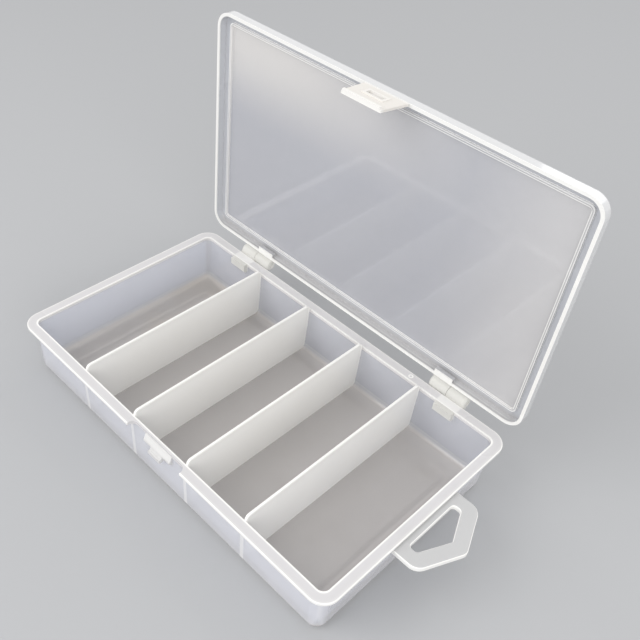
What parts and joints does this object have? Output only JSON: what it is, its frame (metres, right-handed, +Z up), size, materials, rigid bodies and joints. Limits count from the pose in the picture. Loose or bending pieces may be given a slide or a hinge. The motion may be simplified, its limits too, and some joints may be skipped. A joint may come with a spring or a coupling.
{
  "type": "tackle box",
  "caption": "Shallow translucent plastic compartment box with upright dividers, a hinged lid standing open, a snap latch flap and an end carrying loop.",
  "frame": {"origin": "centre of the tray's flat underside", "axes": "+X towards the end with the carrying loop, +Y towards the hinges, +Z up; the latch side faces -Y"},
  "size_m": [0.2197, 0.1266, 0.153],
  "materials": {
    "tray_plastic": "milky translucent natural polypropylene, satin inside, semi-gloss rim",
    "divider_plastic": "milky translucent natural polypropylene, satin",
    "lid_plastic": "clearer milky polypropylene with a light sheen",
    "latch_plastic": "warm white natural polypropylene, satin, stress-whitened at the bend",
    "handle_plastic": "milky natural polypropylene, satin",
    "hinge_plastic": "solid white natural polypropylene, satin",
    "pin_plastic": "solid white natural polypropylene, smooth"
  },
  "bodies": {
    "tray_body": {"tray": "tray_plastic", "divider_1": "divider_plastic", "divider_2": "divider_plastic", "divider_3": "divider_plastic", "divider_4": "divider_plastic", "catch": "latch_plastic", "handle": "handle_plastic", "tray_knuckle_left": "hinge_plastic", "tray_knuckle_right": "hinge_plastic", "hinge_boss_left": "hinge_plastic", "hinge_boss_right": "hinge_plastic", "hinge_pin_left": "pin_plastic", "hinge_pin_right": "pin_plastic"},
    "lid_body": {"lid": "lid_plastic", "lid_knuckle_left": "hinge_plastic", "lid_knuckle_right": "hinge_plastic"},
    "latch_body": {"latch": "latch_plastic"}
  },
  "joints": [
    {"name": "lid_hinge", "type": "hinge", "parent": "tray_body", "child": "lid_body", "pos_m": [0, 0.06265, 0.02835], "axis": [1, 0, 0], "range_deg": [0, 90]},
    {"name": "latch_flex", "type": "hinge", "parent": "lid_body", "child": "latch_body", "pos_m": [0.0014, 0.0624, 0.14945], "axis": [1, 0, 0], "range_deg": [-15, 6.5], "stiffness_Nm_per_rad": 0.02}
  ]
}
